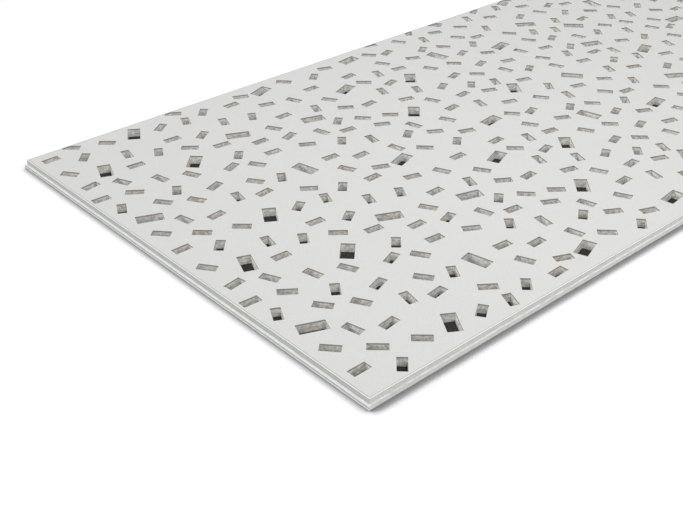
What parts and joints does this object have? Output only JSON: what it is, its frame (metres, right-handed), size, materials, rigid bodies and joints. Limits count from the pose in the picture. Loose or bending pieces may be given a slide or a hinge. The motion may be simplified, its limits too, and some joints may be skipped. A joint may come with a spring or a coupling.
{
  "type": "acoustic plasterboard sheet",
  "caption": "Flat rectangular plasterboard sheet with a stepped edge, perforated by a scatter of small and large rectangular holes, with dark tissue glued over its back.",
  "frame": {"origin": "centre of the sheet's underside, on the plane it lies on", "axes": "+X along the length, +Y along the width, +Z out of the perforated face"},
  "size_m": [1.2, 0.6, 0.011],
  "materials": {
    "board": "matte pale grey liner paper over a plaster core",
    "backing_tissue": "dark bonded fleece"
  },
  "bodies": {
    "root": {"board": "board", "backing_tissue": "backing_tissue"}
  },
  "joints": []
}
